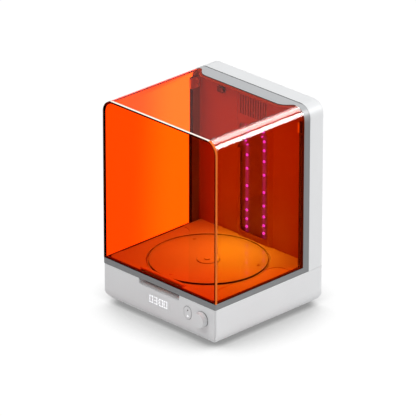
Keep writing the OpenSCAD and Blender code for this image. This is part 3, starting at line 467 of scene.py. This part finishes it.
# The button is a white pill in the same plastic, with a slightly dished face. A small dark dot and a lit white dot
# sit one above the other on it.
button_x = 61.5 * mm
dot_side, dot_h, dot_slope = 0.25 * mm, 0.35 * mm, 0.15 * mm
button_dots = {"sensor_dot": (46.3 * mm, 1.1 * mm), "lit_dot": (36.9 * mm, 1.3 * mm)}
dress(white_satin, "pill_button")
smoke_dot = moulded("smoke_dot", (0.03, 0.03, 0.032), (0.15, 0.25), tone=0.1)
for name, (z, r) in button_dots.items():
    dot = turned([(0, 0), (r, 0), (r, dot_side), (r - dot_slope, dot_h), (0, dot_h)],
                 (button_x, front_y + 0.1 * mm, z), axis="Y", steps=32)
    lit = name == "lit_dot"
    finished(name, dot, "start_button", [display_glow("dot_glow", 0.8) if lit else smoke_dot])

# The back wall is a moulding with a raised lamp tower. The tower's sloped sides, the opening for the lamp window and
# the air slots over it are one piece, and a small hook for the lid switch sticks out at the top left.
back_wall = moulded("back_wall", (0.49, 0.24, 0.24), (0.30, 0.42), tone=0.04)
dress(back_wall, "back_panel")
dress(moulded("switch_hook", (0.16, 0.11, 0.10), (0.4, 0.5), tone=0.05), "lid_switch")

# The lamp is two columns of violet diodes on a board behind a smoke-tinted window, and its heat sink and a fan stand
# behind it in the column.
window_smoke = clear_sheet("window_smoke", (0.5, 0.45, 0.6), 220.0, smear=0.04, mirror=0.3)
lamp_lacquer = circuit_board("lamp_lacquer", (0.55, 0.30, 0.34), (0.60, 0.34, 0.38), columns=(18.2 * mm, 6.0 * mm))
finned_aluminium = plated_steel("finned_aluminium", (0.75, 0.76, 0.78), (0.3, 0.45), brush=(500, 500, 30))
dress(window_smoke, "lamp_window")
dress(lamp_lacquer, "lamp_board")
dress(finned_aluminium, "heat_sink")
dress(dark_moulding, "fan_frame", "fan_rotor")


def violet_light(name, core, rim, strength):
    """Clear resin lit from inside, whiter in the middle of its dome."""
    finish, add, join = node_tree(name)
    out = add("ShaderNodeOutputMaterial")
    skin = add("ShaderNodeBsdfPrincipled", Roughness=0.15)
    path = add("ShaderNodeLightPath")
    shown = add("ShaderNodeMath", operation="MULTIPLY_ADD")
    shown.inputs[1].default_value, shown.inputs[2].default_value = -lamp_held_back * strength, strength
    join(path, "Is Diffuse Ray", shown, 0)
    join(shown, "Value", skin, "Emission Strength")
    facing = add("ShaderNodeLayerWeight", Blend=0.35)
    tone = add("ShaderNodeValToRGB")
    tone.color_ramp.elements[0].color = (*core, 1)
    tone.color_ramp.elements[1].color = (*rim, 1)
    join(facing, "Facing", tone, "Fac")
    join(tone, "Color", skin, "Base Color")
    join(tone, "Color", skin, "Emission Color")
    join(skin, "BSDF", out, "Surface")
    return finish


dress(violet_light("violet_diode", (0.022, 0.004, 1.0), (0.018, 0.002, 0.9), 70.0), "lamp_diodes")

# The hood's frame is grey and moulded: a rim under the orange sheet, two posts behind it, and a top with a ledge that
# fills the cut-out in the hood. The sheet is bonded to its lip, and it turns on two steel pins.
grey = (0.215, 0.22, 0.225)
# The grey is painted lighter towards the top ledge: painted light on the faces turned up.
frame_grey = moulded("frame_grey", grey, (0.28, 0.36), tone=0.02, soft_edge=0.0, painted_top_light=(312 * mm, 332 * mm, 2.2))
dress(frame_grey, "hood_rim", "hood_post_left", "hood_post_right", "hood_frame")
dress(zinc_steel, "hood_bracket_left", "hood_bracket_right", "hinge_leaf_left", "hinge_leaf_right", "hinge_pins")

# The hood is cast sheet, orange right through: a flat front pane bonded to one sheet that is heat bent over the top
# and both sides. Their edges are cut square and polished. The front pane's edges are painted as lit and shaded
# copies: a pale painted highlight on the top edge, orange on the right edge and a near-black painted shade on the
# rest of its rim.
hood_half, hood_low, hood_top, bend_r = 120 * mm, 74.6 * mm, 336 * mm, 20 * mm
pane_front, pane_rear, sheet_rear = -110 * mm, -106 * mm, 77 * mm
glue_gap = 0.04 * mm
sheet_t = 4 * mm
cut_half, cut_deep, cut_r = 98 * mm, 14.6 * mm, 20 * mm
bend_steps = 20
bend_distances, bend_heights, painted_haze_share = (101 * mm, 106 * mm), (323.5 * mm, 325.5 * mm), 0.021
pane_light, bend_light, orange_density = (0.9962, 0.596, 0.01), (0.9962, 0.705, 0.01), 1000.0
orange_pane = clear_sheet("orange_pane", pane_light, orange_density, smear=0.0, mirror=0.02)
orange_bend = clear_sheet("orange_bend", bend_light, orange_density, smear=0.0, mirror=0.04,
                          bend=(bend_distances, bend_heights, painted_haze_share))
# The cut edges are painted: a pale painted highlight, orange, and a near-black painted shade.
cut_painted_highlight = moulded("cut_painted_highlight", (0.80, 0.74, 0.66), (0.3, 0.4), tone=0.03, soft_edge=0.0)
orange_cut = moulded("orange_cut", (0.80, 0.17, 0.03), (0.6, 0.7), tone=0.05, soft_edge=0.0, sheen=0.0)
cut_painted_shade = moulded("cut_painted_shade", (0.02, 0.004, 0.002), (0.5, 0.6), tone=0.1, soft_edge=0.0, sheen=0.0)


def bend_points(side):
    """Points round one top corner of the hood, from the side up to the top."""
    centre = (side * (hood_half - bend_r), hood_top - bend_r)
    turns = [math.radians(90 * i / bend_steps) for i in range(bend_steps + 1)]
    return [(centre[0] + side * bend_r * math.cos(a), centre[1] + bend_r * math.sin(a)) for a in turns]


def hood_outline():
    """The hood seen from the front, from its lower left corner round to its lower right."""
    left, right = bend_points(-1), bend_points(1)
    return [(-hood_half, hood_low)] + left + right[::-1] + [(hood_half, hood_low)]


def cut_out_edge(side):
    """The rear edge of the hood's top on one side, from its outer end in to the cut-out's front edge."""
    corner = cut_half - cut_deep
    tangent = cut_r * math.tan(math.radians(22.5))
    middle = (corner - tangent, sheet_rear - cut_deep + cut_r)
    turns = [math.radians(-45 - 45 * i / 8) for i in range(9)]
    arc = [(middle[0] + cut_r * math.cos(a), middle[1] + cut_r * math.sin(a)) for a in turns]
    return [(side * x, y) for x, y in [(cut_half, sheet_rear)] + arc]


def pull(shape, made, by):
    """Moves the vertices that an extrusion made."""
    bmesh.ops.translate(shape, vec=by, verts=[v for v in made if isinstance(v, bmesh.types.BMVert)])


pane = bmesh.new()
face = pane.faces.new([pane.verts.new((x, pane_front, z)) for x, z in hood_outline()])
deep = bmesh.ops.extrude_face_region(pane, geom=[face])["geom"]
pull(pane, deep, (0, pane_rear - pane_front, 0))
bmesh.ops.recalc_face_normals(pane, faces=pane.faces)
# Each edge face of the pane gets the painted highlight, orange or the painted shade by the way it faces.
for f in pane.faces:
    if abs(f.normal.y) < 0.5:
        f.material_index = 1 if f.normal.z > 0.98 else 2 if f.normal.x > 0.2 else 3
front_sheet = finished("front_pane", pane, "hood", [orange_pane, cut_painted_highlight, orange_cut, cut_painted_shade], ["hood_front"],
                       crease=20)
flat_faces(front_sheet)

wrap = bmesh.new()
front = pane_rear + glue_gap
for side in (-1, 1):
    path = [(side * hood_half, hood_low)] + bend_points(side)
    row = [wrap.verts.new((x, front, z)) for x, z in path]
    lines = [wrap.edges.new(pair) for pair in zip(row, row[1:])]
    moved = bmesh.ops.extrude_edge_only(wrap, edges=lines)["geom"]
    pull(wrap, moved, (0, sheet_rear - front, 0))
flat = hood_half - bend_r
edge = ([(-flat, front), (-flat, sheet_rear)] + cut_out_edge(-1)
        + cut_out_edge(1)[::-1] + [(flat, sheet_rear), (flat, front)])
wrap.faces.new([wrap.verts.new((x, y, hood_top)) for x, y in edge])
bmesh.ops.remove_doubles(wrap, verts=wrap.verts, dist=0.001 * mm)
bmesh.ops.recalc_face_normals(wrap, faces=wrap.faces)
top = max(wrap.faces, key=lambda f: f.calc_center_median().z)
if top.normal.z < 0:
    bmesh.ops.reverse_faces(wrap, faces=wrap.faces)
bmesh.ops.solidify(wrap, geom=wrap.faces, thickness=sheet_t)
hood_sheet = finished("bent_sheet", wrap, "hood", [orange_bend], ["hood_wrap"], crease=20)
flat_faces(hood_sheet)

# A narrow strip of black rubber is stuck inside each side of the hood at its rear edge, to keep the curing light in.
# Its edges are chamfered.
seal_rear, seal_front, seal_t = 76.9 * mm, 68.6 * mm, 1.4 * mm
seal_low, seal_high = 77.6 * mm, 316 * mm
seal_gap, seal_chamfer, seal_slope, seal_land = 0.05 * mm, 0.9 * mm, 2.2 * mm, 0.6 * mm
seal = bmesh.new()
for side in (-1, 1):
    outer = side * (hood_half - sheet_t - seal_gap)
    inner = outer - side * seal_t
    outline = [(outer, seal_rear), (outer, seal_front), (inner + side * seal_chamfer, seal_front),
               (inner, seal_front + seal_chamfer), (inner, seal_rear - seal_slope),
               (inner + side * seal_land, seal_rear)]
    face = seal.faces.new([seal.verts.new((x, y, seal_low)) for x, y in outline])
    tall = bmesh.ops.extrude_face_region(seal, geom=[face])["geom"]
    pull(seal, tall, (0, 0, seal_high - seal_low))
bmesh.ops.recalc_face_normals(seal, faces=seal.faces)
black_seal = moulded("black_seal", (0.02, 0.02, 0.021), (0.6, 0.75), tone=0.1, grain_per_m=1400, grain_depth=0.02)
finished("side_seals", seal, "hood", [black_seal])

# The table is white paper. The camera sees it white, with a painted shadow that darkens it the closer the object
# stands round it, read from ambient occlusion; the light it throws back on the object is dimmed the same way.
# Through the hood it carries painted light, brighter across the table from the front left to the rear right, up to
# more than white.
table = bmesh.new()
bmesh.ops.create_grid(table, x_segments=1, y_segments=1, size=30)
mesh = bpy.data.meshes.new("table_top")
table.to_mesh(mesh)
table.free()
table_top = bpy.data.objects.new("table_top", mesh)
bpy.context.scene.collection.objects.link(table_top)
paper, add, join = node_tree("white_paper")
out = add("ShaderNodeOutputMaterial")
matt = add("ShaderNodeBsdfDiffuse")
lift = add("ShaderNodeEmission")
both = add("ShaderNodeAddShader")
path = add("ShaderNodeLightPath")
tone = spread(add, (0, 1), (0.72, 0.0))
join(path, "Is Camera Ray", tone, "Value")
join(tone, "Result", matt, "Color")
place = add("ShaderNodeTexCoord")
across = add("ShaderNodeVectorMath", operation="DOT_PRODUCT")
across.inputs[1].default_value = (1, 1, 0)
# Painted light: seen through the hood, the table gets brighter towards the rear right.
behind = spread(add, (-0.19, -0.09), (0.6, 2.6), interpolation_type="SMOOTHSTEP")
join(place, "Object", across, 0)
join(across, "Value", behind, "Value")
# Painted shadow: ambient occlusion round the object darkens the table for the camera and for the light it throws
# back.
hollow = add("ShaderNodeAmbientOcclusion", samples=12, Distance=0.14)
shade = spread(add, (0.30, 0.78), (0.29, 1.03))
join(hollow, "AO", shade, "Value")
dim = spread(add, (0.35, 0.95), (0.0, 0.5))
join(hollow, "AO", dim, "Value")
total = None
for ray, level in (("Is Camera Ray", shade), ("Is Glossy Ray", 0.75), ("Is Diffuse Ray", dim),
                   ("Is Transmission Ray", behind)):
    share = add("ShaderNodeMath", operation="MULTIPLY_ADD")
    join(path, ray, share, 0)
    if isinstance(level, float):
        share.inputs[1].default_value = level
    else:
        join(level, "Result", share, 1)
    if total:
        join(total, "Value", share, 2)
    else:
        share.inputs[2].default_value = 0
    total = share
join(total, "Value", lift, "Strength")
join(matt, "BSDF", both, 0)
join(lift, "Emission", both, 1)
join(both, "Shader", out, "Surface")
table_top.data.materials.append(paper)

# The sky is an even white to the camera, in mirrors and through clear sheet, and lights the object only a little.
sky = bpy.data.worlds.new("studio_sky")
bpy.context.scene.world = sky
sky.use_nodes = True
add, join = node_tools(sky.node_tree)
out = add("ShaderNodeOutputWorld")
lit = add("ShaderNodeBackground", Strength=0.3)
seen = add("ShaderNodeBackground", Strength=1.0)
path = add("ShaderNodeLightPath")
either = add("ShaderNodeMath", operation="MAXIMUM")
any_of = add("ShaderNodeMath", operation="MAXIMUM")
mix = add("ShaderNodeMixShader")
join(path, "Is Camera Ray", either, 0)
join(path, "Is Glossy Ray", either, 1)
join(either, "Value", any_of, 0)
join(path, "Is Transmission Ray", any_of, 1)
join(any_of, "Value", mix, "Fac")
join(lit, "Background", mix, 1)
join(seen, "Background", mix, 2)
join(mix, "Shader", out, "Surface")

# Soft lamps stand round the table. The strip draws the bright line in the hood's bend, the rear and side lamps shine
# on the hood's sheets alone, and the strip and front lamps leave the table out, so that it stays an even white.
lamp_distance = 5.0
lamp_target = Vector((0, 0, 0.2))


def soft_lamp(name, turn, lift, across, radiance, roll=0):
    """A soft box in the direction turn and lift, across wide and high as seen from the object, all in degrees."""
    light = bpy.data.lights.new(name, "AREA")
    light.shape = "RECTANGLE"
    light.size, light.size_y = (2 * lamp_distance * math.tan(math.radians(a / 2)) for a in across)
    light.energy = radiance * math.pi * light.size * light.size_y
    lamp = bpy.data.objects.new(name, light)
    turn, lift = math.radians(turn), math.radians(lift)
    away = Vector((math.cos(lift) * math.cos(turn), math.cos(lift) * math.sin(turn), math.sin(lift)))
    facing = away.to_track_quat("Z", "Y").to_matrix().to_4x4() @ Matrix.Rotation(math.radians(roll), 4, "Z")
    lamp.matrix_world = Matrix.Translation(lamp_target + away * lamp_distance) @ facing
    bpy.context.scene.collection.objects.link(lamp)
    return lamp


strip_lamp = soft_lamp("strip_lamp", 46, 26, (9, 27), 24, roll=-23)
rear_lamp = soft_lamp("rear_lamp", 86, 49, (28, 14), 11)
side_lamp = soft_lamp("side_lamp", 110, 43, (22, 14), 5)
front_lamp = soft_lamp("front_lamp", -100, 50, (40, 26), 3.45)
soft_lamp("top_lamp", 0, 88, (30, 30), 3.0)

# A faint glow in front of the lamp window stands for the light that the diodes throw on the floor, hub and disc.
glow_light = bpy.data.lights.new("chamber_glow", "AREA")
glow_light.shape = "RECTANGLE"
glow_light.size, glow_light.size_y = 0.05, 0.12
glow_light.energy = 0.34
glow_light.color = (0.85, 1.0, 0.65)
chamber_glow = bpy.data.objects.new("chamber_glow", glow_light)
glow_place, glow_away = Vector((0, 0.078, 0.17)), Vector((0, 1, 0.55))
chamber_glow.matrix_world = Matrix.Translation(glow_place) @ glow_away.to_track_quat("Z", "Y").to_matrix().to_4x4()
chamber_glow.visible_camera = chamber_glow.visible_transmission = chamber_glow.visible_glossy = False
bpy.context.scene.collection.objects.link(chamber_glow)

off_table = bpy.data.collections.new("off_table")
off_table.objects.link(table_top)
off_table.collection_objects[0].light_linking.link_state = "EXCLUDE"
strip_lamp.light_linking.receiver_collection = front_lamp.light_linking.receiver_collection = off_table
chamber_pieces = (cad["chamber_floor"], cad["turntable_hub"], turntable_disc)
for lamp, group, pieces in ((rear_lamp, "rear_on_hood", (front_sheet, hood_sheet)),
                            (side_lamp, "side_on_hood", (front_sheet, hood_sheet)),
                            (chamber_glow, "chamber_only", chamber_pieces)):
    receivers = bpy.data.collections.new(group)
    for piece in pieces:
        receivers.objects.link(piece)
    lamp.light_linking.receiver_collection = receivers

# The camera stands far off with a long lens, as for a catalogue picture.
camera_data = bpy.data.cameras.new("camera")
camera_data.lens = 431.52
camera_data.sensor_width = 36
camera_data.clip_end = 60
camera = bpy.data.objects.new("camera", camera_data)
bpy.context.scene.collection.objects.link(camera)
camera_turn, camera_lift, camera_roll, camera_far = 45.2522, 24.2453, 0.0942, 7.5
camera_aim = Vector((0.01525, -0.02172, 0.17163))
camera.matrix_world = (Matrix.Translation(camera_aim) @ Matrix.Rotation(math.radians(camera_turn), 4, "Z")
                       @ Matrix.Rotation(math.radians(90 - camera_lift), 4, "X")
                       @ Matrix.Rotation(math.radians(camera_roll), 4, "Z") @ Matrix.Translation((0, 0, camera_far)))
bpy.context.scene.camera = camera
bpy.context.scene.view_settings.view_transform = "Standard"
